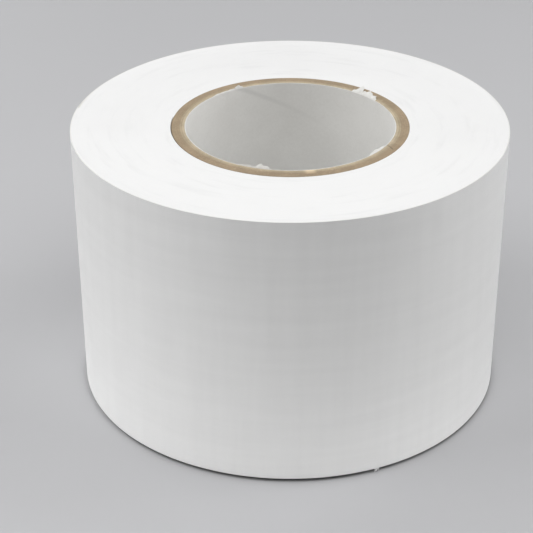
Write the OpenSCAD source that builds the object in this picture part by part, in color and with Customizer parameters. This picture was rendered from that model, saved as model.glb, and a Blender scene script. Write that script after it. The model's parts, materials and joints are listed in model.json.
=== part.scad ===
// Roll of wide self-adhesive sailcloth tape on a spiral-wound paper core.
// Millimetres. +Z runs up the bore, and the origin is the middle of the lower end.
// Plan angles turn from +X towards +Y. The front of the roll faces -Y.

/* [Core] */
// Bore of the core, across
core_bore = 76.2; // [60:0.1:90]
// Wall of the core
core_wall = 5.1; // [4:0.1:7]
// Board plies between the inside liner and the outer ply
board_plies = 5; // [3:1:8]
// Thickness of the inside liner, and of the outer ply
skin_t = 0.3; // [0.2:0.05:0.5]
// Rise of each spiral strip in one turn
strip_lead = 119; // [100:1:140]
// Plan angle where the inside liner's seam meets the upper rim
liner_seam_angle = 121; // [0:1:359]
// Turn of each ply's seam from the seam of the ply inside it
seam_stagger = 210.5; // [0:0.5:359]
// Open seam between the edges of a strip
seam_gap = 0.3; // [0.3:0.1:1.5]

/* [Tape] */
// Width of the tape, which is the height of the roll
tape_w = 101.6; // [50:0.1:150]
// Turns under the outer turn
turns = 118; // [20:1:160]
// Thickness of the woven cloth
cloth_t = 0.15; // [0.12:0.01:0.3]
// Thickness of the adhesive coat
adhesive_t = 0.07; // [0.06:0.01:0.12]
// Thickness of the release liner
liner_t = 0.08; // [0.06:0.01:0.15]

/* [Free end] */
// Plan angle of the line where the free end lifts off
tail_root = 172; // [0:1:359]
// Length of the free end
tail_len = 55; // [35:1:80]
// Length at the end of its release liner that peels off
flap_len = 26; // [10:1:30]
// Room between the free end and the turn under it
tail_room = 0.3; // [0.2:0.05:0.6]

/* [Hidden] */
$fn = 180;
board_names = [for (i = [1 : board_plies]) str("core_ply_", i)];

// Radii of the core
bore_r = core_bore / 2;
core_r = bore_r + core_wall;
board_t = (core_wall - 2 * skin_t) / board_plies;
function board_r(i) = bore_r + skin_t + (i - 1) * board_t;
function seam_angle(i) = liner_seam_angle + i * seam_stagger;

// Seam cutters run past both ends of the core and both faces of their ply
seam_steps = 40;
seam_past = 2;
seam_sweep = 360 * (tape_w + 2 * seam_past) / strip_lead;

// Layers of the tape, counted out from the turn under them
web_t = liner_t + adhesive_t + cloth_t;
adhesive_at = liner_t;
cloth_at = liner_t + adhesive_t;

// The outer turn climbs by one rise: two half turns about centres half a rise apart
pack_r = core_r + turns * web_t;
rise = web_t + tail_room;
half_rise = rise / 2;

// The free end lies over the start of the outer turn, a little short of both ends of the roll
tail_r = pack_r + rise;
tail_inset = 0.3;
root_slit = 0.15;
flap_drop = 0.06;
function tail_angle(length) = length / tail_r * 180 / PI;
flap_at = tail_len - flap_len;

kraft = [0.44, 0.35, 0.25];
board = [0.60, 0.50, 0.38];
white_paper = [0.86, 0.85, 0.82];
release_paper = [0.90, 0.89, 0.83];
clear_adhesive = [0.93, 0.92, 0.86];
sailcloth = [0.93, 0.93, 0.92];

// Least room between points on the free end and points on the outer turn
function on_arc(r, a) = [r * cos(a), r * sin(a)];
tail_points = [for (s = [root_slit : 1 : tail_len]) on_arc(tail_r - flap_drop, -tail_angle(s))];
turn_points = [for (a = [-60 : 0.1 : 0]) on_arc(pack_r + web_t, a)];
least_room = min([for (p = tail_points) min([for (q = turn_points) norm(p - q)])]);
echo(least_room_mm = least_room);

// Corners of the seam cutter's section at one step along the strip's edge
function seam_section(inner_r, outer_r, top_angle, step) =
    let (
        turned = step / seam_steps * seam_sweep,
        level = tape_w + seam_past - turned / 360 * strip_lead,
        a = top_angle + seam_past / strip_lead * 360 - turned,
        half_gap = seam_gap / 2 / cos(atan(strip_lead / (2 * PI * inner_r)))
    )
    [
        [inner_r * cos(a), inner_r * sin(a), level - half_gap],
        [inner_r * cos(a), inner_r * sin(a), level + half_gap],
        [outer_r * cos(a), outer_r * sin(a), level + half_gap],
        [outer_r * cos(a), outer_r * sin(a), level - half_gap]
    ];

// Two triangles on each of the four sides between one section and the next
function seam_side(step) = [
    for (side = [0 : 3])
        let (a = 4 * step + side, b = 4 * step + (side + 1) % 4)
            each [[a, b, b + 4], [a, b + 4, a + 4]]
];

module seam_cutter(inner_r, outer_r, top_angle) {
    last = 4 * seam_steps;
    polyhedron(
        points = [for (s = [0 : seam_steps]) each seam_section(inner_r, outer_r, top_angle, s)],
        faces = concat(
            [[2, 1, 0], [3, 2, 0]],
            [for (s = [0 : seam_steps - 1]) each seam_side(s)],
            [[last, last + 1, last + 2], [last, last + 2, last + 3]]
        )
    );
}

// One strip of the core, with its edges meeting at an open spiral seam
module spiral_ply(inner_r, thick, top_angle) {
    difference() {
        rotate_extrude()
            translate([inner_r, 0])
                square([thick, tape_w]);
        seam_cutter(inner_r - seam_past, inner_r + thick + seam_past, top_angle);
    }
}

// Part of a turn, from a plan angle counted from the line where the free end lifts off
module arc_layer(inner_r, thick, from, sweep, inset = 0) {
    rotate([0, 0, tail_root])
        rotate_extrude(angle = sweep, start = from)
            translate([inner_r, inset])
                square([thick, tape_w - 2 * inset]);
}

// One layer of the outer turn, as two half turns
module outer_turn_layer(at, thick) {
    arc_layer(pack_r + at, thick, -180, 180);
    translate(half_rise * [cos(tail_root), sin(tail_root), 0])
        arc_layer(pack_r + half_rise + at, thick, 0, 180);
}

// One layer of the free end, between two lengths from where it lifts off
module tail_layer(at, thick, near, far) {
    arc_layer(tail_r + at, thick, -tail_angle(far), tail_angle(far - near), tail_inset);
}

module core_inside_liner() {
    color(white_paper) spiral_ply(bore_r, skin_t, seam_angle(0));
}

module core_board_ply(i) {
    color(i < 3 ? board : kraft) spiral_ply(board_r(i), board_t, seam_angle(i));
}

module core_outer_ply() {
    color(kraft) spiral_ply(core_r - skin_t, skin_t, seam_angle(board_plies + 1));
}

module wound_turns() {
    color(sailcloth)
        difference() {
            union() {
                arc_layer(0, pack_r, -180, 180);
                translate(half_rise * [cos(tail_root), sin(tail_root), 0])
                    arc_layer(0, pack_r + half_rise, 0, 180);
            }
            translate([0, 0, -1])
                cylinder(r = core_r, h = tape_w + 2);
        }
}

module outer_turn_liner() {
    color(release_paper) outer_turn_layer(0, liner_t);
}

module outer_turn_adhesive() {
    color(clear_adhesive) outer_turn_layer(adhesive_at, adhesive_t);
}

module outer_turn_cloth() {
    color(sailcloth) outer_turn_layer(cloth_at, cloth_t);
}

module tail_liner() {
    color(release_paper) tail_layer(0, liner_t, root_slit, flap_at - root_slit);
}

module tail_adhesive() {
    color(clear_adhesive) tail_layer(adhesive_at, adhesive_t, root_slit, tail_len);
}

module tail_cloth() {
    color(sailcloth) tail_layer(cloth_at, cloth_t, root_slit, tail_len);
}

module liner_flap() {
    color(release_paper) tail_layer(-flap_drop, liner_t, flap_at, tail_len);
}

core_inside_liner();
for (i = [1 : board_plies])
    core_board_ply(i);
core_outer_ply();
wound_turns();
outer_turn_liner();
outer_turn_adhesive();
outer_turn_cloth();
tail_liner();
tail_adhesive();
tail_cloth();
liner_flap();
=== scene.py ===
import json
import math
import random

import bmesh
import bpy
from mathutils import Matrix, Vector


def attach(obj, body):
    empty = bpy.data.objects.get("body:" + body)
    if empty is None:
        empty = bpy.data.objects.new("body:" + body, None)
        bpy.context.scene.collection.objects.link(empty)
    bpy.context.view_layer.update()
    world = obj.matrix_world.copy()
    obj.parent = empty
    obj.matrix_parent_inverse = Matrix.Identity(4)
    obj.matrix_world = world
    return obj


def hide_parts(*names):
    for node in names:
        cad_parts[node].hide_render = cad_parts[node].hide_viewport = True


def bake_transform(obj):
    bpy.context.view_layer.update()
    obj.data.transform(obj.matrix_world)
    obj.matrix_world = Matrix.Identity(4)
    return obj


# Metres throughout. Plan angles are degrees from +X towards +Y, and the front faces -Y.
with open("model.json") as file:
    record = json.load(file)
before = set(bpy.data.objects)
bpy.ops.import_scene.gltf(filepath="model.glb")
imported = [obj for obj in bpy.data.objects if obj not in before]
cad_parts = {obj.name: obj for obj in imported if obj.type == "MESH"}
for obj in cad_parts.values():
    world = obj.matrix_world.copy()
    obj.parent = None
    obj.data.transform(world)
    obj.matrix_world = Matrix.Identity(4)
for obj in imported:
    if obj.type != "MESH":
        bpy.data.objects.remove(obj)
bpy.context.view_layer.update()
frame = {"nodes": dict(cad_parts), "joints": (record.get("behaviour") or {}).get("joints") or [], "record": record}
scene = bpy.context.scene
scene.view_settings.view_transform = "Standard"
mounts = {mount["name"]: mount for mount in frame["record"]["mounts"]}
joints = {joint["name"]: joint for joint in frame["joints"]}
rollHeight = mounts["upper_end"]["pos_m"][2]
boreRadius = mounts["core_bore"]["dims"]["r_mm"] / 1000
fullTurn = 2 * math.pi
print("frame loaded:", len(frame["nodes"]), "CAD nodes")


# Camera, fitted to the rims in the photo
view = {
    "imagePixels": 533,
    "focalPixels": 1552.7,
    "sensor": 36.0,              # millimetres
    "clipStart": 0.01,
    "distance": 0.5660,          # from the middle of the upper end
    "elevation": 24.317,
    "pitch": 29.556,             # below level
    "yaw": -0.983,
    "roll": -0.211,
}


def makeCamera():
    data = bpy.data.cameras.new("camera")
    data.sensor_width = view["sensor"]
    data.lens = view["focalPixels"] / view["imagePixels"] * view["sensor"]
    data.clip_start = view["clipStart"]
    camera = bpy.data.objects.new("camera", data)
    rise = math.radians(view["elevation"])
    pitch = math.radians(view["pitch"])
    yaw = math.radians(view["yaw"])
    roll = math.radians(view["roll"])
    level = math.cos(pitch)
    forward = Vector((math.sin(yaw) * level, math.cos(yaw) * level, -math.sin(pitch)))
    right = Vector((math.cos(yaw), -math.sin(yaw), 0))
    up = right.cross(forward)
    across = math.cos(roll) * right + math.sin(roll) * up
    upright = math.cos(roll) * up - math.sin(roll) * right
    turn = Matrix((across, upright, -forward)).transposed().to_4x4()
    away = Vector((0, -math.cos(rise), math.sin(rise))) * view["distance"]
    camera.matrix_world = Matrix.Translation(Vector((0, 0, rollHeight)) + away) @ turn
    scene.collection.objects.link(camera)
    scene.camera = camera


makeCamera()
print("camera in place")


# Node trees written as expressions
def pickSocket(sockets, key):
    if isinstance(key, int):
        return sockets[key]
    return next(socket for socket in sockets if socket.name == key and socket.enabled)


class Wire:                      # one socket of a tree, used as a value
    def __init__(self, tree, socket=None):
        self.tree = tree
        self.socket = socket

    def node(self, kind, settings=None, inputs=None, out=0):
        made = self.tree.nodes.new(kind)
        for name, value in (settings or {}).items():
            setattr(made, name, value)
        for key, value in (inputs or {}).items():
            socket = pickSocket(made.inputs, key)
            if isinstance(value, Wire):
                self.tree.links.new(value.socket, socket)
            else:
                socket.default_value = value
        return Wire(self.tree, pickSocket(made.outputs, out)) if len(made.outputs) else None

    def side(self, name):        # another output of the same node
        return Wire(self.tree, pickSocket(self.socket.node.outputs, name))

    def maths(self, operation, *others):
        return self.node("ShaderNodeMath", {"operation": operation}, dict(enumerate((self, *others))))

    def flipped(self, operation, other):
        return self.node("ShaderNodeMath", {"operation": operation}, {0: other, 1: self})

    def __add__(self, other):
        return self.maths("ADD", other)

    def __radd__(self, other):
        return self.flipped("ADD", other)

    def __sub__(self, other):
        return self.maths("SUBTRACT", other)

    def __rsub__(self, other):
        return self.flipped("SUBTRACT", other)

    def __mul__(self, other):
        return self.maths("MULTIPLY", other)

    def __rmul__(self, other):
        return self.flipped("MULTIPLY", other)

    def __truediv__(self, other):
        return self.maths("DIVIDE", other)

    def __rtruediv__(self, other):
        return self.flipped("DIVIDE", other)

    def __gt__(self, other):
        return self.maths("GREATER_THAN", other)

    def __lt__(self, other):
        return self.maths("LESS_THAN", other)


def smoothStep(value, low, high, fromValue=0.0, toValue=1.0):
    return value.node(
        "ShaderNodeMapRange",
        {"interpolation_type": "SMOOTHSTEP"},
        {"Value": value, "From Min": low, "From Max": high, "To Min": fromValue, "To Max": toValue},
    )


def falling(value, low, high, share=1.0):
    return smoothStep(value, low, high, share, 0.0)


def swing(value, share):         # a noise, as a swing either side of zero
    return (value - 0.5) * share


def vector(wire, x=0.0, y=0.0, z=0.0):
    return wire.node("ShaderNodeCombineXYZ", None, {"X": x, "Y": y, "Z": z})


def parted(place):               # its X, with Y and Z as the other sides
    return place.node("ShaderNodeSeparateXYZ", None, {"Vector": place})


def noise(place, grain):         # a grain is the scale, detail and roughness of a noise
    scale, detail, rough = grain
    inputs = {"Vector": place, "Scale": scale, "Detail": detail, "Roughness": rough}
    return place.node("ShaderNodeTexNoise", None, inputs)


def fibreTone(fibre, cloud, fibreShare):
    return fibre * fibreShare + cloud * (1 - fibreShare)


def mixColour(share, first, second):
    inputs = {"Factor": share, "A": first, "B": second}
    return share.node("ShaderNodeMix", {"data_type": "RGBA"}, inputs, out="Result")


def tinted(colour, scale=1.0):
    return (*(part * scale for part in colour), 1.0)


def shaded(share, colour, shades):    # from one shade of a colour to another
    first, second = shades
    return mixColour(share, tinted(colour, first), tinted(colour, second))


# Materials share these steps
def newMaterial(name):
    material = bpy.data.materials.new(name)
    material.use_nodes = True
    material.node_tree.nodes.clear()
    return material, Wire(material.node_tree)


def closeMaterial(start, look):
    shader = start.node("ShaderNodeBsdfPrincipled", None, look)
    start.node("ShaderNodeOutputMaterial", None, {"Surface": shader})


def bumped(height, distance, strength=1.0):
    return height.node("ShaderNodeBump", None, {"Height": height, "Distance": distance, "Strength": strength})


def objectPlace(start):
    return start.node("ShaderNodeTexCoord", None, None, out="Object")


def webPlace(start):             # along the web and across it, in metres
    return start.node("ShaderNodeUVMap", {"uv_map": "UVMap"})


def planRadius(xyz):
    return (xyz * xyz + xyz.side("Y") * xyz.side("Y")).maths("SQRT")


def planTurn(xyz):               # plan angle in turns, from -0.5 to 0.5
    return xyz.side("Y").maths("ARCTAN2", xyz) / fullTurn


# Geometry Nodes helpers
def newTree(name, inputs):
    tree = bpy.data.node_groups.new(name, "GeometryNodeTree")
    tree.interface.new_socket("Geometry", in_out="OUTPUT", socket_type="NodeSocketGeometry")
    for label, kind in inputs.items():
        tree.interface.new_socket(label, in_out="INPUT", socket_type="NodeSocket" + kind)
    enter = tree.nodes.new("NodeGroupInput")
    return tree, {label: Wire(tree, pickSocket(enter.outputs, label)) for label in inputs}


def closeTree(geometry, material):
    whole = geometry.node("GeometryNodeRealizeInstances", None, {"Geometry": geometry})
    painted = geometry.node("GeometryNodeSetMaterial", None, {"Geometry": whole, "Material": material})
    geometry.node("NodeGroupOutput", None, {"Geometry": painted})


def keepValue(geometry, name, value, kind="FLOAT", domain="POINT"):
    return geometry.node(
        "GeometryNodeStoreNamedAttribute",
        {"data_type": kind, "domain": domain},
        {"Geometry": geometry, "Name": name, "Value": value},
    )


def readValue(wire, name):
    return wire.node("GeometryNodeInputNamedAttribute", {"data_type": "FLOAT"}, {"Name": name})


def spread(seed, low, high):     # a random value for each point
    inputs = {"Min": low, "Max": high, "Seed": seed}
    return seed.node("FunctionNodeRandomValue", {"data_type": "FLOAT"}, inputs, out="Value")


def bentStrand(start, size, radius):
    points = dict(zip(("Start", "Middle", "End"), size["bend"]))
    line = start.node("GeometryNodeCurveQuadraticBezier", None, {"Resolution": size["segments"], **points})
    circle = {"Resolution": size["sides"], "Radius": radius}
    profile = start.node("GeometryNodeCurvePrimitiveCircle", None, circle)
    sweep = {"Curve": line, "Profile Curve": profile, "Fill Caps": True}
    return start.node("GeometryNodeCurveToMesh", None, sweep)


def planted(points, body, turn, scale):
    inputs = {"Points": points, "Instance": body, "Rotation": turn, "Scale": scale}
    return points.node("GeometryNodeInstanceOnPoints", None, inputs)


# Pieces
def plainPiece(name, mesh):
    piece = bpy.data.objects.new(name, mesh)
    scene.collection.objects.link(piece)
    return piece


def smoothShaded(mesh, sharpAngle=35.0):
    mesh.shade_smooth()
    mesh.set_sharp_from_angle(angle=math.radians(sharpAngle))


def nodePiece(name, tree, values, helpers=()):      # helpers are attributes that only the tree needs
    piece = plainPiece(name, bpy.data.meshes.new(name))
    modifier = piece.modifiers.new("shape", "NODES")
    modifier.node_group = tree
    for item in tree.interface.items_tree:
        if item.in_out == "INPUT":
            modifier[item.identifier] = values[item.name]
    graph = bpy.context.evaluated_depsgraph_get()
    mesh = bpy.data.meshes.new_from_object(piece.evaluated_get(graph), depsgraph=graph)
    piece.modifiers.remove(modifier)
    piece.data = mesh
    mesh.name = name
    for helper in helpers:
        mesh.attributes.remove(mesh.attributes[helper])
    smoothShaded(mesh)
    return piece


def builtPiece(name, build, material, **shading):
    mesh = bpy.data.meshes.new(name)
    build.to_mesh(mesh)
    build.free()
    mesh.materials.append(material)
    smoothShaded(mesh, **shading)
    return plainPiece(name, mesh)


def quad(build, first, second, row):      # between two lines of points
    build.faces.new((first[row], second[row], second[row + 1], first[row + 1]))


def eased(share):
    return share * share * (3 - 2 * share)


def seatPiece(piece, body, slot, *nodes):
    if nodes:
        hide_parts(*nodes)
    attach(piece, body)


# The tape: one web of cloth, adhesive and release liner, wound on the core
tape = {
    "turns": 118,                # whole turns under the outer one
    "coreRadius": 0.0432,
    "liner": 0.00008,
    "adhesive": 0.00007,
    "cloth": 0.00015,
    "tailRoom": 0.00030,         # room that the outer turn leaves under the free end
    "tailLength": 0.055,
    "flapLength": 0.026,
    "lap": 0.014,                # stretch of the outer turn made in one with the free end
    "settle": 0.00020,           # how far the free end sinks towards the turn under it
    "tailInset": 0.00030,        # how much the free end is cut in at each edge
    "insetLength": 0.008,
    "wander": 0.00005,           # unevenness of the slit edges
    "fineWaves": 1.7,            # in a turn
    "fineGrain": (1.0, 1.0, 0.5),
    "broadWaves": 0.11,
    "broadGrain": (1.0, 2.0, 0.5),
    "upperLane": 31,             # keeps the noise of the two edges apart
    "broadLane": 11,
    "shift": 0.00150,            # how far the outer turns have slid up the core
    "shiftFrom": 6,              # turns next to the core that stay level with it
    "turnGap": 0.000006,
    "stepsInTurn": 160,
    "outerSteps": 300,
    "seed": 7.0,
}
webThick = tape["liner"] + tape["adhesive"] + tape["cloth"]
packRadius = tape["coreRadius"] + tape["turns"] * webThick
tailRadius = packRadius + webThick + tape["tailRoom"]
tailRound = fullTurn * tailRadius
hinge = Vector(joints["tail_lift"]["pos_m"])
rootAngle = math.atan2(hinge.y, hinge.x)


def climbShare(part):            # a turn climbs in its second half
    return (part > 0.5) * (1 + (part * fullTurn).maths("COSINE")) / 2


def woundWebTree():
    tree, size = newTree("woundWeb", {
        "First": "Float", "Last": "Float", "Steps": "Int", "Turns": "Float",
        "Core Radius": "Float", "Web": "Float", "Loose": "Float", "Root": "Float",
        "Offset": "Float", "Thick": "Float", "Reach": "Float", "Round": "Float",
        "Height": "Float", "Inset": "Float", "Inset Length": "Float",
        "Settle": "Float", "Settle Length": "Float",
        "Wander": "Float", "Shift": "Float", "Shift From": "Float", "Seed": "Float",
        "Material": "Material",
    })
    start = Wire(tree)
    line = start.node("GeometryNodeMeshLine", None, {"Count": size["Steps"] + 1})
    index = start.node("GeometryNodeInputIndex")
    along = size["First"] + (size["Last"] - size["First"]) * index / size["Steps"]
    path = keepValue(start.node("GeometryNodeMeshToCurve", None, {"Mesh": line}), "along", along)
    profile = start.node("GeometryNodeCurvePrimitiveQuadrilateral", None, {"Width": 1.0, "Height": 1.0})
    corner = parted(start.node("GeometryNodeInputPosition"))
    profile = keepValue(profile, "outer", corner > 0)
    profile = keepValue(profile, "upper", corner.side("Y") > 0)
    sweep = {"Curve": path, "Profile Curve": profile, "Fill Caps": True}
    web = start.node("GeometryNodeCurveToMesh", None, sweep)
    turn = readValue(start, "along")
    outer = readValue(start, "outer")
    upper = readValue(start, "upper")
    whole = turn.maths("FLOOR")
    part = turn - whole
    level = whole + climbShare(part) + size["Reach"] * outer
    past = (turn - size["Turns"] - 1) * size["Round"]      # length of free end up to here
    sunk = smoothStep(past, 0.0, size["Settle Length"]) * size["Settle"]
    radius = size["Core Radius"] + size["Web"] * level - sunk
    radius = radius + size["Loose"] * (level - size["Turns"]).maths("MAXIMUM", 0.0)
    radius = radius + size["Offset"] + size["Thick"] * outer
    lane = size["Seed"] + upper * tape["upperLane"]
    fine = noise(vector(start, turn * tape["fineWaves"], lane), tape["fineGrain"])
    broad = noise(vector(start, turn * tape["broadWaves"], lane + tape["broadLane"]), tape["broadGrain"])
    inset = size["Inset"] * smoothStep(past, 0.0, size["Inset Length"])
    short = size["Wander"] * (fine + broad) + inset
    ride = size["Shift"] * smoothStep(turn, size["Shift From"], size["Turns"])
    height = upper * (size["Height"] - short) + (1 - upper) * short + ride
    angle = size["Root"] - part * fullTurn
    place = vector(start, radius * angle.maths("COSINE"), radius * angle.maths("SINE"), height)
    web = start.node("GeometryNodeSetPosition", None, {"Geometry": web, "Position": place})
    flat = vector(start, (turn - size["Turns"]) * size["Round"], height)
    web = keepValue(web, "UVMap", flat, "FLOAT2", "CORNER")
    closeTree(web, size["Material"])
    return tree


# With a reach of 1, the outer face lies on the next turn
def windWeb(name, material, first, last, steps, offset, thick, reach=0.0):
    return nodePiece(name, webTree, {
        "First": float(first), "Last": float(last), "Steps": int(steps), "Turns": float(tape["turns"]),
        "Core Radius": tape["coreRadius"], "Web": webThick, "Loose": tape["tailRoom"], "Root": rootAngle,
        "Offset": offset, "Thick": thick, "Reach": reach, "Round": tailRound,
        "Height": rollHeight, "Inset": tape["tailInset"], "Inset Length": tape["insetLength"],
        "Settle": tape["settle"], "Settle Length": tape["tailLength"],
        "Wander": tape["wander"], "Shift": tape["shift"], "Shift From": float(tape["shiftFrom"]),
        "Seed": tape["seed"], "Material": material,
    }, ("along", "outer", "upper"))


# Sailcloth: plain weave, satin white
clothLook = {
    "pitch": 0.00032,            # from thread to thread
    "relief": 0.00003,
    "white": (0.865, 0.865, 0.862),
    "shades": (0.96, 1.04),
    "valley": 0.90,              # painted shade between the threads
    "valleyBand": (0.0, 0.55),
    "roughness": 0.46,
    "slubGrain": (900.0, 3.0, 0.5),
    "slubShade": 0.020,
    "slubRough": 0.08,
    "slubRelief": 0.25,
    "cloudGrain": (22.0, 3.0, 0.5),
    "cloudShade": 0.030,
    "cloudRough": 0.10,
    "streakGrain": (1.0, 4.0, 0.6),
    "streaksPerMetre": 200.0,    # uneven threads, across their run
    "streakRun": 14.0,           # and along it
    "streakShade": 1.2,
    "weftLane": 5.0,             # keeps the streaks of weft and warp apart
}


def sailclothMaterial():
    look = clothLook
    material, start = newMaterial("sailcloth")
    place = webPlace(start)
    flat = parted(place)
    warpWave = (flat.side("Y") * (math.pi / look["pitch"])).maths("SINE")
    weftWave = (flat * (math.pi / look["pitch"])).maths("SINE")
    crossing = warpWave * weftWave
    warp = (warpWave.maths("ABSOLUTE") + crossing) / 2
    weft = (weftWave.maths("ABSOLUTE") - crossing) / 2
    thread = warp.maths("MAXIMUM", weft)
    slub = noise(place, look["slubGrain"])
    cloud = noise(place, look["cloudGrain"])
    fine = look["streaksPerMetre"]
    run = look["streakRun"]
    warpPlace = vector(start, flat * run, flat.side("Y") * fine)
    weftPlace = vector(start, flat * fine, flat.side("Y") * run, look["weftLane"])
    warpStreak = swing(noise(warpPlace, look["streakGrain"]), look["streakShade"])
    weftStreak = swing(noise(weftPlace, look["streakGrain"]), look["streakShade"])
    shade = swing(cloud, look["cloudShade"]) + swing(slub, look["slubShade"]) + warpStreak + weftStreak + 0.5
    pale = shaded(shade, look["white"], look["shades"])
    # painted shade in the valleys of the weave
    valley = tinted(look["white"], look["valley"])
    closeMaterial(start, {
        "Base Color": mixColour(smoothStep(thread, *look["valleyBand"]), valley, pale),
        "Roughness": look["roughness"] + swing(cloud, look["cloudRough"]) + swing(slub, look["slubRough"]),
        "Normal": bumped(thread + slub * look["slubRelief"], look["relief"]),
    })
    return material


# Slit edges of the tape: each turn shows its cloth, adhesive and liner
edgeLook = {
    "cloth": (0.896, 0.896, 0.896),
    "adhesive": (0.842, 0.841, 0.832),
    "liner": (0.876, 0.875, 0.868),
    "soiled": 0.80,              # as a share of the cloth's colour
    "speckGrain": (1400.0, 2.0, 0.5),
    "speckShade": 0.35,
    "speckRough": 0.2,
    "cloudGrain": (55.0, 4.0, 0.6),
    "cloudBand": (0.2, 0.8),
    "cloudShade": 0.09,
    "cloudRelief": 0.5,
    "streakGrain": (1.0, 3.0, 0.6),
    "streaksPerMetre": 330.0,    # across the turns
    "streakRound": 2.6,          # and along them
    "streakBand": (0.52, 0.74),
    "streakShade": 0.22,
    "roughness": 0.66,
    "relief": 0.00004,
    "reliefShare": 0.5,
}


def tapeEdgeMaterial():
    look = edgeLook
    material, start = newMaterial("tapeEdge")
    place = objectPlace(start)
    xyz = parted(place)
    radius = planRadius(xyz)
    turn = planTurn(xyz)
    climb = climbShare((rootAngle / fullTurn - turn).maths("FRACT"))
    layer = ((radius - tape["coreRadius"]) / webThick - climb).maths("FRACT")
    linerShare = tape["liner"] / webThick
    clothFrom = 1 - tape["cloth"] / webThick
    paste = mixColour(layer > linerShare, tinted(look["liner"]), tinted(look["adhesive"]))
    layered = mixColour(layer > clothFrom, paste, tinted(look["cloth"]))
    cloud = noise(place, look["cloudGrain"])
    speck = noise(place, look["speckGrain"])
    angle = turn * fullTurn
    ringPlace = vector(
        start,
        angle.maths("COSINE") * look["streakRound"],
        angle.maths("SINE") * look["streakRound"],
        radius * look["streaksPerMetre"],
    )
    streak = smoothStep(noise(ringPlace, look["streakGrain"]), *look["streakBand"])
    soil = smoothStep(cloud + swing(speck, look["speckShade"]), *look["cloudBand"])
    shade = soil * look["cloudShade"] + streak * look["streakShade"]
    closeMaterial(start, {
        "Base Color": mixColour(shade, layered, tinted(look["cloth"], look["soiled"])),
        "Roughness": look["roughness"] + swing(speck, look["speckRough"]),
        "Normal": bumped(speck + cloud * look["cloudRelief"], look["relief"], look["reliefShare"]),
    })
    return material


# Release liner: smooth paper
releaseLook = {
    "colour": (0.84, 0.83, 0.775),
    "shades": (0.95, 1.03),
    "fibreGrain": (1800.0, 4.0, 0.65),
    "cloudGrain": (140.0, 3.0, 0.5),
    "fibreShare": 0.5,
    "toneBand": (0.3, 0.7),
    "roughness": 0.34,
    "fibreRough": 0.12,
    "relief": 0.00002,
}


def releasePaperMaterial():
    look = releaseLook
    material, start = newMaterial("releasePaper")
    place = webPlace(start)
    fibre = noise(place, look["fibreGrain"])
    cloud = noise(place, look["cloudGrain"])
    share = smoothStep(fibreTone(fibre, cloud, look["fibreShare"]), *look["toneBand"])
    closeMaterial(start, {
        "Base Color": shaded(share, look["colour"], look["shades"]),
        "Roughness": look["roughness"] + fibre * look["fibreRough"],
        "Normal": bumped(fibre, look["relief"]),
    })
    return material


# Adhesive: a glossy coat with small bubbles
adhesiveLook = {
    "colour": (0.86, 0.85, 0.79),
    "rippleGrain": (420.0, 3.0, 0.5),
    "bubbleGrain": (1500.0, 1.0, 0.5),
    "bubbleBand": (0.62, 0.75),
    "bubbleShare": 0.6,
    "bubbleShade": 0.90,
    "bubbleRelief": 0.4,
    "roughness": 0.14,
    "rippleRough": 0.14,
    "relief": 0.00003,
}


def adhesiveMaterial():
    look = adhesiveLook
    material, start = newMaterial("adhesive")
    place = webPlace(start)
    ripple = noise(place, look["rippleGrain"])
    bubble = smoothStep(noise(place, look["bubbleGrain"]), *look["bubbleBand"])
    closeMaterial(start, {
        "Base Color": shaded(bubble * look["bubbleShare"], look["colour"], (1.0, look["bubbleShade"])),
        "Roughness": look["roughness"] + ripple * look["rippleRough"],
        "Normal": bumped(ripple + bubble * look["bubbleRelief"], look["relief"]),
    })
    return material


webTree = woundWebTree()
tapeEdge = tapeEdgeMaterial()
webLayers = (                    # name, material, how far out it starts, thickness, slot
    ("Liner", releasePaperMaterial(), 0.0, tape["liner"], "release_paper"),
    ("Adhesive", adhesiveMaterial(), tape["liner"], tape["adhesive"], "adhesive"),
    ("Cloth", sailclothMaterial(), tape["liner"] + tape["adhesive"], tape["cloth"], "sailcloth"),
)


def turnsTo(length):             # turn count at a length along the free end
    return tape["turns"] + 1 + length / tailRound


def makeWinding():
    steps = tape["turns"] * tape["stepsInTurn"]
    winding = windWeb("windingTape", tapeEdge, 0, tape["turns"], steps, 0.0, -tape["turnGap"], 1.0)
    seatPiece(winding, "roll", "tape_edge", "wound_turns")


def makeOuterTurn():
    last = turnsTo(-tape["lap"])
    for name, material, inside, thick, slot in webLayers:
        piece = windWeb("outer" + name, material, tape["turns"], last, tape["outerSteps"], inside, thick)
        seatPiece(piece, "roll", slot, "outer_turn_" + name.lower())
    climb = webThick + tape["tailRoom"]
    meanRadius = packRadius + webThick + climb / 4      # a quarter, as it climbs in one half only
    length = fullTurn * meanRadius - tape["lap"]


def tailPoint(length):           # on the free end, half way up
    angle = rootAngle - length / tailRadius
    return Vector((tailRadius * math.cos(angle), tailRadius * math.sin(angle), rollHeight / 2))


bend = {
    "tailLength": 0.024,         # stretch of the free end; the point found from it is not used
    "peelLength": 0.013,         # stretch of the liner past the flap's start; the point found from it is not used
    "steps": 90,
}


def makeFreeEnd():
    flapAt = tape["tailLength"] - tape["flapLength"]
    first = turnsTo(-tape["lap"])
    tip = turnsTo(tape["tailLength"])
    for name, material, inside, thick, slot in webLayers:
        last = turnsTo(flapAt) if name == "Liner" else tip
        piece = windWeb("tail" + name, material, first, last, bend["steps"], inside, thick)
        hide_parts("tail_" + name.lower())
        tailPoint(bend["tailLength"])
        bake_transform(piece)
    material, inside, thick, slot = webLayers[0][1:]
    flap = windWeb("linerFlap", material, turnsTo(flapAt), tip, bend["steps"], inside, thick)
    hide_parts("liner_flap")
    tailPoint(flapAt + bend["peelLength"])
    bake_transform(flap)


makeWinding()
makeOuterTurn()
makeFreeEnd()
print("tape wound:", tape["turns"], "turns, an outer turn and a free end")


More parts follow.
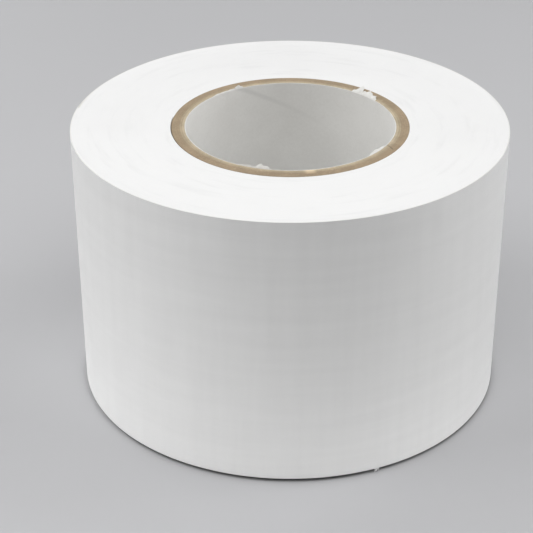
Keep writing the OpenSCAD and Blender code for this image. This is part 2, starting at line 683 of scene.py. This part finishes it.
# Loose thread ends: a row along the cut end, and a few under the front edge
threadSize = {
    "pitch": clothLook["pitch"],
    "bend": ((0, 0, 0), (0.5, 0.06, 0.05), (1, -0.10, -0.06)),      # for a length of 1
    "segments": 4,
    "sides": 5,
    "roll": 3.1,                 # radians either way
    "shortest": 0.35,            # as a share of the longest
    "cutThick": 0.00011,
    "cutReach": 0.0009,
    "cutSpread": 0.22,           # radians
    "cutSeed": 5,
    "tuftAngle": -67.4,          # plan angle of the loose ends under the front edge
    "tuftCount": 14,
    "tuftThick": 0.00014,
    "tuftReach": 0.0014,
    "tuftStep": 0.00013,
    "tuftDroop": 45.0,           # degrees
    "tuftSpread": 0.30,
    "tuftSeed": 2,
}


def threadTree():
    tree, size = newTree("threadEnds", {
        "Count": "Int", "First": "Vector", "Step": "Vector", "Spin": "Float", "Droop": "Float",
        "Spread": "Float", "Reach": "Float", "Thick": "Float", "Seed": "Int", "Material": "Material",
    })
    start = Wire(tree)
    seed = size["Seed"]
    index = start.node("GeometryNodeInputIndex")
    steps = {"Vector": size["Step"], "Scale": index}
    along = start.node("ShaderNodeVectorMath", {"operation": "SCALE"}, steps)
    place = start.node("ShaderNodeVectorMath", {"operation": "ADD"}, {0: size["First"], 1: along})
    points = start.node("GeometryNodePoints", None, {"Count": size["Count"], "Position": place})
    body = bentStrand(start, threadSize, size["Thick"] / size["Reach"] / 2)
    lean = vector(
        start,
        spread(seed, -threadSize["roll"], threadSize["roll"]),
        size["Droop"] + size["Spread"] * spread(seed + 1, -1.0, 1.0),
        size["Spin"] + size["Spread"] * spread(seed + 2, -1.0, 1.0),
    )
    long = size["Reach"] * spread(seed + 3, threadSize["shortest"], 1.0)
    scale = vector(start, long, size["Reach"], size["Reach"])
    closeTree(planted(points, body, lean, scale), size["Material"])
    return tree


yarnLook = {
    "strandGrain": (6000.0, 2.0, 0.5),
    "strandBand": (0.35, 0.65),
    "shades": (0.90, 1.03),
    "roughness": 0.45,
    "strandRough": 0.2,
    "relief": 0.00002,
}


def yarnMaterial():
    look = yarnLook
    material, start = newMaterial("yarn")
    strand = noise(objectPlace(start), look["strandGrain"])
    closeMaterial(start, {
        "Base Color": shaded(smoothStep(strand, *look["strandBand"]), clothLook["white"], look["shades"]),
        "Roughness": look["roughness"] + strand * look["strandRough"],
        "Normal": bumped(strand, look["relief"]),
    })
    return material


def makeThreads():
    size = threadSize
    tree = threadTree()
    yarn = yarnMaterial()
    clothRadius = tailRadius - tape["settle"] + webThick - tape["cloth"] / 2
    tip = rootAngle - tape["tailLength"] / tailRadius
    low = tape["shift"] + tape["tailInset"] + size["pitch"]
    high = tape["shift"] + rollHeight - tape["tailInset"] - size["pitch"]
    row = nodePiece("threadEnds", tree, {
        "Count": int((high - low) / size["pitch"]),
        "First": (clothRadius * math.cos(tip), clothRadius * math.sin(tip), low),
        "Step": (0.0, 0.0, size["pitch"]),
        "Spin": tip - math.pi / 2, "Droop": 0.0, "Spread": size["cutSpread"],
        "Reach": size["cutReach"], "Thick": size["cutThick"], "Seed": size["cutSeed"],
        "Material": yarn,
    })
    seatPiece(row, "tail", "sailcloth")
    out = math.radians(size["tuftAngle"])
    edge = packRadius + webThick - tape["cloth"] / 2
    step = size["tuftStep"]
    tuft = nodePiece("looseThreads", tree, {
        "Count": size["tuftCount"],
        "First": (edge * math.cos(out), edge * math.sin(out), tape["shift"] + tape["cloth"]),
        "Step": (-step * math.sin(out), step * math.cos(out), 0.0),
        "Spin": out, "Droop": math.radians(size["tuftDroop"]), "Spread": size["tuftSpread"],
        "Reach": size["tuftReach"], "Thick": size["tuftThick"], "Seed": size["tuftSeed"],
        "Material": yarn,
    })
    seatPiece(tuft, "roll", "sailcloth")


makeThreads()
print("thread ends set")


# Paper core: board plies stay as built, and get their finish here
boardLook = {
    "kraft": (0.360, 0.275, 0.179),
    "middleBoard": (0.424, 0.342, 0.231),
    "chipboard": (0.515, 0.432, 0.305),
    "innerRadius": boreRadius + 0.0003,      # outside the liner
    "plyThick": 0.0009,
    "shades": (0.80, 1.16),
    "fibreGrain": (1500.0, 4.0, 0.7),
    "cloudGrain": (160.0, 4.0, 0.6),
    "fibreShare": 0.55,
    "toneBand": (0.34, 0.66),
    "fleckGrain": (2600.0, 1.0, 0.5),
    "fleckBand": (0.66, 0.74),
    "fleckShare": 0.55,
    "fleckShade": 0.55,
    "glueBand": (0.38, 0.5),     # share of a ply, from its middle to its face
    "glueShare": 0.6,
    "glueShade": 0.72,
    "glueRelief": 0.5,
    "scuffAt": -80.0,            # plan angle of a scuff on the upper end
    "scuffBand": (1.0, 3.8),     # degrees either side
    "scuffEnd": 0.0416,          # radius
    "scuffShare": 0.8,
    "scuffShade": 1.60,
    "creaseAt": -26.7,           # plan angle of a crease at the bore, dented in the bump and painted with shadow in the colour
    "creaseSlant": -1050.0,      # degrees for each metre outwards
    "creaseWander": 0.001,
    "creaseBand": (0.0001, 0.00045),
    "creaseEnd": 0.0422,         # radius
    "creaseShare": 0.8,
    "creaseShade": 0.45,
    "markFade": 0.001,           # over which both marks end
    "roughness": 0.86,
    "fibreRough": 0.2,
    "relief": 0.00012,
    "reliefShare": 0.8,
    "cloudRelief": 0.6,
}


def boardMaterial(name):
    look = boardLook
    colour = look[name]
    material, start = newMaterial(name)
    place = objectPlace(start)
    xyz = parted(place)
    radius = planRadius(xyz)
    angle = planTurn(xyz) * 360
    upper = xyz.side("Z") > rollHeight / 2
    cloud = noise(place, look["cloudGrain"])
    fibre = noise(place, look["fibreGrain"])
    share = smoothStep(fibreTone(fibre, cloud, look["fibreShare"]), *look["toneBand"])
    body = shaded(share, colour, look["shades"])
    fleck = smoothStep(noise(place, look["fleckGrain"]), *look["fleckBand"])
    body = mixColour(fleck * look["fleckShare"], body, tinted(colour, look["fleckShade"]))
    ply = ((radius - look["innerRadius"]) / look["plyThick"]).maths("FRACT")
    glue = smoothStep((ply - 0.5).maths("ABSOLUTE"), *look["glueBand"])
    body = mixColour(glue * look["glueShare"], body, tinted(colour, look["glueShade"]))
    scuff = falling((angle - look["scuffAt"]).maths("ABSOLUTE"), *look["scuffBand"])
    scuff = scuff * falling(radius, look["scuffEnd"] - look["markFade"], look["scuffEnd"]) * upper
    body = mixColour(scuff * look["scuffShare"], body, tinted(colour, look["scuffShade"]))
    along = look["creaseAt"] + (radius - boreRadius) * look["creaseSlant"]
    beside = (angle - along) * radius * math.radians(1) + swing(cloud, look["creaseWander"])
    crease = falling(beside.maths("ABSOLUTE"), *look["creaseBand"])
    crease = crease * falling(radius, look["creaseEnd"] - look["markFade"], look["creaseEnd"]) * upper
    # painted shadow in the crease; the same mask also dents the bump
    body = mixColour(crease * look["creaseShare"], body, tinted(colour, look["creaseShade"]))
    height = fibre + cloud * look["cloudRelief"] - glue * look["glueRelief"] - crease
    closeMaterial(start, {
        "Base Color": body,
        "Roughness": look["roughness"] + swing(fibre, look["fibreRough"]),
        "Normal": bumped(height, look["relief"], look["reliefShare"]),
    })
    return material


def paintCore():
    board = {name: boardMaterial(name) for name in ("chipboard", "middleBoard", "kraft")}
    finishes = {"core_ply_1": "chipboard", "core_ply_2": "middleBoard"}
    for name, node in frame["nodes"].items():
        if name.startswith("core_") and name != "core_inside_liner":
            node.data.materials.clear()
            node.data.materials.append(board[finishes.get(name, "kraft")])
    return board


board = paintCore()
print("core plies painted")


# Inside liner of the core: white paper, lapped along a spiral seam, torn at the rim
linerSize = {
    "thick": 0.00029,
    "lead": 0.119,               # rise of the seam in one turn
    "seamTop": 121.0,            # plan angle where the seam meets the upper rim
    "lapStep": 0.00005,          # height of the lap
    "lapAngle": 10.0,            # degrees over which it rises
    "ragged": 0.00008,           # unevenness of the cut end
    "columns": 300,
    "rows": 60,
    "seed": 3,
}
linerLook = {
    "dull": (0.735, 0.725, 0.700),
    "clean": (0.880, 0.876, 0.855),
    "cleanBand": (0.002, 0.034),     # depths over which the paper turns paler, away from the rim
    "cleanShare": 0.6,
    "fibreGrain": (900.0, 4.0, 0.65),
    "cloudGrain": (70.0, 3.0, 0.5),
    "fibreShare": 0.45,
    "toneBand": (0.3, 0.7),
    "toneShare": 0.4,
    "seam": (0.63, 0.625, 0.605),    # painted shadow line along the lap, where it has come loose near the rim
    "seamBand": (0.0003, 0.0032),
    "seamShare": 0.55,
    "seamEnd": 0.019,
    "roughness": 0.62,
    "fibreRough": 0.2,
    "relief": 0.00004,
    "reliefShare": 0.7,
}


def linerPaperMaterial():
    look = linerLook
    material, start = newMaterial("linerPaper")
    place = objectPlace(start)
    xyz = parted(place)
    fibre = noise(place, look["fibreGrain"])
    cloud = noise(place, look["cloudGrain"])
    deep = rollHeight - xyz.side("Z")
    share = smoothStep(fibreTone(fibre, cloud, look["fibreShare"]), *look["toneBand"]) * look["toneShare"]
    # the paper turns paler with depth below the rim
    share = share + smoothStep(deep, *look["cleanBand"]) * look["cleanShare"]
    paper = mixColour(share, tinted(look["dull"]), tinted(look["clean"]))
    turned = planTurn(xyz) + deep / linerSize["lead"] - linerSize["seamTop"] / 360
    beside = ((turned + 0.5).maths("FRACT") - 0.5).maths("ABSOLUTE") * (fullTurn * boreRadius)
    # painted shadow line along the lap near the rim, fading with depth
    line = falling(beside, *look["seamBand"], look["seamShare"]) * falling(deep, 0.0, look["seamEnd"])
    closeMaterial(start, {
        "Base Color": mixColour(line, paper, tinted(look["seam"])),
        "Roughness": look["roughness"] + swing(fibre, look["fibreRough"]),
        "Normal": bumped(fibre, look["relief"], look["reliefShare"]),
    })
    return material


def makeCoreLiner(material):
    rough = random.Random(linerSize["seed"])
    columns = linerSize["columns"]
    rows = linerSize["rows"]
    build = bmesh.new()
    inner = []
    outer = []
    for column in range(columns + 1):
        share = column / columns
        lap = max(0.0, 1 - (1 - share) * 360 / linerSize["lapAngle"])
        innerRadius = boreRadius - linerSize["lapStep"] * eased(lap)
        topAngle = linerSize["seamTop"] + share * 360
        top = rollHeight - rough.random() * linerSize["ragged"]
        inner.append([])
        outer.append([])
        for row in range(rows + 1):
            height = top * row / rows
            angle = math.radians(topAngle - (rollHeight - height) / linerSize["lead"] * 360)
            way = Vector((math.cos(angle), math.sin(angle), 0))
            rise = Vector((0, 0, height))
            inner[-1].append(build.verts.new(way * innerRadius + rise))
            if column < columns:
                outer[-1].append(build.verts.new(way * (boreRadius + linerSize["thick"]) + rise))
    outer[columns] = outer[0]
    for column in range(columns):
        beside = column + 1
        for row in range(rows):
            quad(build, inner[beside], inner[column], row)
            quad(build, outer[column], outer[beside], row)
        build.faces.new((inner[column][0], inner[beside][0], outer[beside][0], outer[column][0]))
        build.faces.new((inner[beside][rows], inner[column][rows], outer[column][rows], outer[beside][rows]))
    for row in range(rows):      # the step of the lap closes the seam
        quad(build, inner[0], inner[columns], row)
    build.faces.new((inner[columns][0], inner[0][0], outer[0][0]))
    build.faces.new((inner[0][rows], inner[columns][rows], outer[0][rows]))
    bmesh.ops.recalc_face_normals(build, faces=build.faces)
    seatPiece(builtPiece("coreLiner", build, material), "roll", "white_paper", "core_inside_liner")


tears = (                        # plan angle, half width, length of paper, fold out of upright, crumple
    (130, 9.0, 0.0006, 42, 8),
    (121, 3.0, 0.0014, 40, 14),
    (49.5, 3.2, 0.0058, 92, 22),
    (44.5, 2.8, 0.0050, 98, 26),
    (39, 4.6, 0.0034, 90, 26),
    (-36, 7.5, 0.0013, -58, 8),
    (-104.5, 4.2, 0.0019, -35, 10),
    (-113, 5.0, 0.0009, -20, 6),
)
flakeSize = {
    "thick": 0.00009,
    "along": 26,                 # faces
    "across": 9,
    "root": 0.00020,             # how far each torn bit reaches down into the liner
    "rest": 0.00007,             # least height over the board
    "curlKnots": 5,
    "reachKnots": 7,
    "roundness": 0.6,
    "least": 0.04,               # shares of the length: at the sides, then at the torn edge
    "reach": 0.78,
    "reachWaver": 0.22,
    "nibble": 0.16,
    "jitter": 0.12,              # degrees
    "foldRate": 1.8,             # above 1, the fold ends before the tip
    "sharpAngle": 60.0,
    "seed": 11,
}


def waver(rough, count, knots):  # smooth random line from -1 to 1
    heights = [rough.uniform(-1, 1) for knot in range(knots + 2)]
    line = []
    for i in range(count + 1):
        place = i / count * knots
        knot = int(place)
        share = eased(place - knot)
        line.append(heights[knot] * (1 - share) + heights[knot + 1] * share)
    return line


def makeTornFlakes(material):
    size = flakeSize
    rough = random.Random(size["seed"])
    along = size["along"]
    across = size["across"]
    build = bmesh.new()
    for at, half, length, fold, crumple in tears:
        curl = waver(rough, along, size["curlKnots"])
        reach = waver(rough, along, size["reachKnots"])
        grid = []
        for i in range(along + 1):
            side = 2 * i / along - 1
            outline = max(size["least"], (1 - side * side) ** size["roundness"])
            torn = size["reach"] + size["reachWaver"] * reach[i] - size["nibble"] * rough.random()
            tip = length * outline * torn
            angle = math.radians(at + side * half + rough.uniform(-size["jitter"], size["jitter"]))
            radius = boreRadius + linerSize["thick"] / 2
            height = rollHeight - size["root"]
            grid.append([])
            for j in range(across + 1):
                grid[-1].append(build.verts.new((radius * math.cos(angle), radius * math.sin(angle), height)))
                share = min(1.0, (j + 1) / across * size["foldRate"])
                lean = math.radians((fold + crumple * curl[i]) * eased(share))
                step = size["root"] if j == 0 else tip / (across - 1)
                radius = radius + step * math.sin(lean)
                height = height + step * math.cos(lean)
                if radius > boreRadius + linerSize["thick"]:
                    height = max(height, rollHeight + size["rest"])
        for i in range(along):
            for j in range(across):
                quad(build, grid[i], grid[i + 1], j)
    bmesh.ops.recalc_face_normals(build, faces=build.faces)
    bmesh.ops.solidify(build, geom=build.faces, thickness=size["thick"])
    flakes = builtPiece("tornLiner", build, material, sharpAngle=size["sharpAngle"])
    seatPiece(flakes, "roll", "white_paper")


linerPaper = linerPaperMaterial()
makeCoreLiner(linerPaper)
makeTornFlakes(linerPaper)
print("core liner and its torn rim made")


# Glue that fills the seams of the board plies near the upper end
glueSize = {
    "plies": (2, 3, 4, 5),       # the seam of the first ply has come open
    "stagger": 210.5,            # turn of each seam from the one inside it
    "width": 1.1,                # degrees, a little more than the open seam
    "sunk": 0.00004,
    "deep": 0.0030,
    "steps": 8,
}


def seamCorners(ply, down):      # section of the glue at a depth below the upper end
    inner = boardLook["innerRadius"] + (ply - 1) * boardLook["plyThick"]
    outer = inner + boardLook["plyThick"]
    turned = linerSize["seamTop"] + ply * glueSize["stagger"] - down / linerSize["lead"] * 360
    for radius, side in ((inner, -1), (outer, -1), (outer, 1), (inner, 1)):
        angle = math.radians(turned + side * glueSize["width"] / 2)
        yield radius * math.cos(angle), radius * math.sin(angle), rollHeight - down


def makeSeamGlue():
    steps = glueSize["steps"]
    fall = (glueSize["deep"] - glueSize["sunk"]) / steps
    build = bmesh.new()
    for ply in glueSize["plies"]:
        rings = []
        for step in range(steps + 1):
            corners = seamCorners(ply, glueSize["sunk"] + fall * step)
            rings.append([build.verts.new(corner) for corner in corners])
        for upper, lower in zip(rings, rings[1:]):
            for i in range(len(upper)):
                build.faces.new((upper[i - 1], upper[i], lower[i], lower[i - 1]))
        build.faces.new(rings[0])
        build.faces.new(rings[-1])
    bmesh.ops.recalc_face_normals(build, faces=build.faces)
    seatPiece(builtPiece("seamGlue", build, board["middleBoard"]), "roll", "chipboard")


makeSeamGlue()
print("glue set in the seams of the plies")


# Paper fibres that stand up from the cut board
fuzz = {
    "count": 420,
    "inner": boreRadius + 0.0001,
    "outer": tape["coreRadius"] - 0.0002,
    "length": 0.0008,
    "thick": 0.00003,
    "bend": ((0, 0, -0.1), (0.1, 0.1, 0.25), (0.9, 0.0, 0.35)),     # for a length of 1
    "segments": 4,
    "sides": 3,
    "shortest": 0.3,             # as a share of the longest
    "tilt": (-0.5, 0.2),         # radians
    "colour": (0.62, 0.54, 0.42),
    "shades": (0.75, 1.25),
    "toneGrain": (700.0, 2.0, 0.5),
    "toneBand": (0.35, 0.65),
    "toneRough": 0.2,
    "roughness": 0.8,
    "seed": 23,
}


def fuzzTree():
    tree, size = newTree("boardFuzz", {
        "Count": "Int", "Inner": "Float", "Outer": "Float", "Height": "Float",
        "Length": "Float", "Thick": "Float", "Seed": "Int", "Material": "Material",
    })
    start = Wire(tree)
    seed = size["Seed"]
    angle = spread(seed, 0.0, fullTurn)
    outward = spread(seed + 1, 0.0, 1.0)
    radius = size["Inner"] + (size["Outer"] - size["Inner"]) * outward * outward      # most are near the bore
    place = vector(start, radius * angle.maths("COSINE"), radius * angle.maths("SINE"), size["Height"])
    points = start.node("GeometryNodePoints", None, {"Count": size["Count"], "Position": place})
    body = bentStrand(start, fuzz, size["Thick"] / size["Length"] / 2)
    long = size["Length"] * spread(seed + 2, fuzz["shortest"], 1.0)
    turn = vector(start, 0.0, spread(seed + 3, *fuzz["tilt"]), spread(seed + 4, 0.0, fullTurn))
    closeTree(planted(points, body, turn, vector(start, long, long, long)), size["Material"])
    return tree


def fibreMaterial():
    material, start = newMaterial("paperFibre")
    tone = noise(objectPlace(start), fuzz["toneGrain"])
    closeMaterial(start, {
        "Base Color": shaded(smoothStep(tone, *fuzz["toneBand"]), fuzz["colour"], fuzz["shades"]),
        "Roughness": fuzz["roughness"] + swing(tone, fuzz["toneRough"]),
    })
    return material


def makeFuzz():
    field = nodePiece("boardFuzz", fuzzTree(), {
        "Count": fuzz["count"], "Inner": fuzz["inner"], "Outer": fuzz["outer"], "Height": rollHeight,
        "Length": fuzz["length"], "Thick": fuzz["thick"], "Seed": fuzz["seed"], "Material": fibreMaterial(),
    })
    seatPiece(field, "roll", "chipboard")


makeFuzz()
print("fuzz set on the cut board")


# Floor and backdrop
black = (0.0, 0.0, 0.0)
floorLook = {
    "size": 8.0,
    "grey": (0.512, 0.513, 0.525),
    "shades": (0.99, 1.01),
    "cloudGrain": (3.0, 2.0, 0.5),
    "cloudBand": (0.3, 0.7),
    "footprint": 0.45,           # painted contact shadow: how much darker the floor is painted under the roll's edge
    "footprintFade": 0.0014,
    "bounce": (0.875, 0.875, 0.875),     # what the floor throws back up at the roll
    "bounceAt": (-0.055, -0.11),
    "bounceBand": (0.08, 0.25),  # past this the studio is dark
    "underBand": (-0.001, 0.003),        # from the roll's side: within it, the floor throws nothing back
    "fadeBand": (0.55, 1.40),    # where the floor runs into the backdrop
    "roughness": 0.8,
    "specular": 0.2,
}
sky = {
    "strength": 0.0,             # the lamps give all the light
    "seen": (0.52, 0.52, 0.53),
}


def backdropRay(start):          # 1 for rays that show the backdrop, seen or mirrored
    ray = start.node("ShaderNodeLightPath", None, None, out="Is Camera Ray")
    mirrored = ray.side("Is Glossy Ray").maths("MAXIMUM", ray.side("Is Transmission Ray"))
    return ray.maths("MAXIMUM", mirrored)


def floorMaterial():
    look = floorLook
    material, start = newMaterial("floor")
    place = objectPlace(start)
    xyz = parted(place)
    radius = planRadius(xyz)
    cloud = noise(place, look["cloudGrain"])
    grey = shaded(smoothStep(cloud, *look["cloudBand"]), look["grey"], look["shades"])
    # painted contact shadow under the roll's lifted edge
    footprint = falling(radius, tailRadius - look["footprintFade"], tailRadius, look["footprint"])
    grey = mixColour(footprint, grey, tinted(black))
    fromX = xyz - look["bounceAt"][0]
    fromY = xyz.side("Y") - look["bounceAt"][1]
    away = (fromX * fromX + fromY * fromY).maths("SQRT")
    far = smoothStep(away, *look["bounceBand"])
    under = falling(radius, *(tailRadius + past for past in look["underBand"]))
    bounce = mixColour(far.maths("MAXIMUM", under), tinted(look["bounce"]), tinted(black))
    seen = backdropRay(start)
    floor = start.node("ShaderNodeBsdfPrincipled", None, {
        "Base Color": mixColour(seen, bounce, grey),
        "Roughness": look["roughness"],
        "Specular IOR Level": look["specular"],
    })
    backdrop = start.node("ShaderNodeEmission", None, {"Color": tinted(sky["seen"])})
    fade = smoothStep(radius, *look["fadeBand"]) * seen
    both = start.node("ShaderNodeMixShader", None, {0: fade, 1: floor, 2: backdrop})
    start.node("ShaderNodeOutputMaterial", None, {"Surface": both})
    return material


def makeFloor():
    half = floorLook["size"] / 2
    corners = [(-half, -half, 0), (half, -half, 0), (half, half, 0), (-half, half, 0)]
    mesh = bpy.data.meshes.new("floor")
    mesh.from_pydata(corners, [], [(0, 1, 2, 3)])
    mesh.materials.append(floorMaterial())
    plainPiece("floor", mesh)


def makeSky():
    world = bpy.data.worlds.new("studio")
    world.use_nodes = True
    world.node_tree.nodes.clear()
    start = Wire(world.node_tree)
    seen = backdropRay(start)
    glow = start.node("ShaderNodeBackground", None, {"Color": (1, 1, 1, 1), "Strength": sky["strength"]})
    back = start.node("ShaderNodeBackground", None, {"Color": tinted(sky["seen"]), "Strength": 1.0})
    both = start.node("ShaderNodeMixShader", None, {0: seen, 1: glow, 2: back})
    start.node("ShaderNodeOutputWorld", None, {"Surface": both})
    scene.world = world


# Soft lamps all round, aimed at the middle of the roll
lamps = {
    "overFront": {"place": (0.0, -0.75, 1.15), "size": 1.0, "watts": 8.0},
    "overBack": {"place": (0.0, 0.80, 1.15), "size": 1.0, "watts": 4.1},
    "leftHigh": {"place": (-0.95, -0.10, 0.90), "size": 0.8, "watts": 4.85},
    "rightHigh": {"place": (0.95, -0.10, 0.90), "size": 0.8, "watts": 3.55},
    "leftLow": {"place": (-1.20, -0.25, 0.40), "size": 0.8, "watts": 3.5},
    "rightLow": {"place": (1.20, -0.25, 0.40), "size": 0.8, "watts": 3.0},
    "leftBack": {"place": (-1.00, 0.75, 0.55), "size": 0.8, "watts": 4.9},
    "rightBack": {"place": (1.10, 0.35, 0.35), "size": 0.6, "watts": 4.5},
}


def makeLamps():
    aim = Vector((0, 0, rollHeight / 2))
    for name, lamp in lamps.items():
        data = bpy.data.lights.new(name, "AREA")
        data.shape = "SQUARE"
        data.size = lamp["size"]
        data.energy = lamp["watts"]
        light = bpy.data.objects.new(name, data)
        light.location = lamp["place"]
        light.rotation_euler = (aim - light.location).to_track_quat("-Z", "Y").to_euler()
        scene.collection.objects.link(light)


makeFloor()
makeLamps()
makeSky()
print("floor and lamps set")
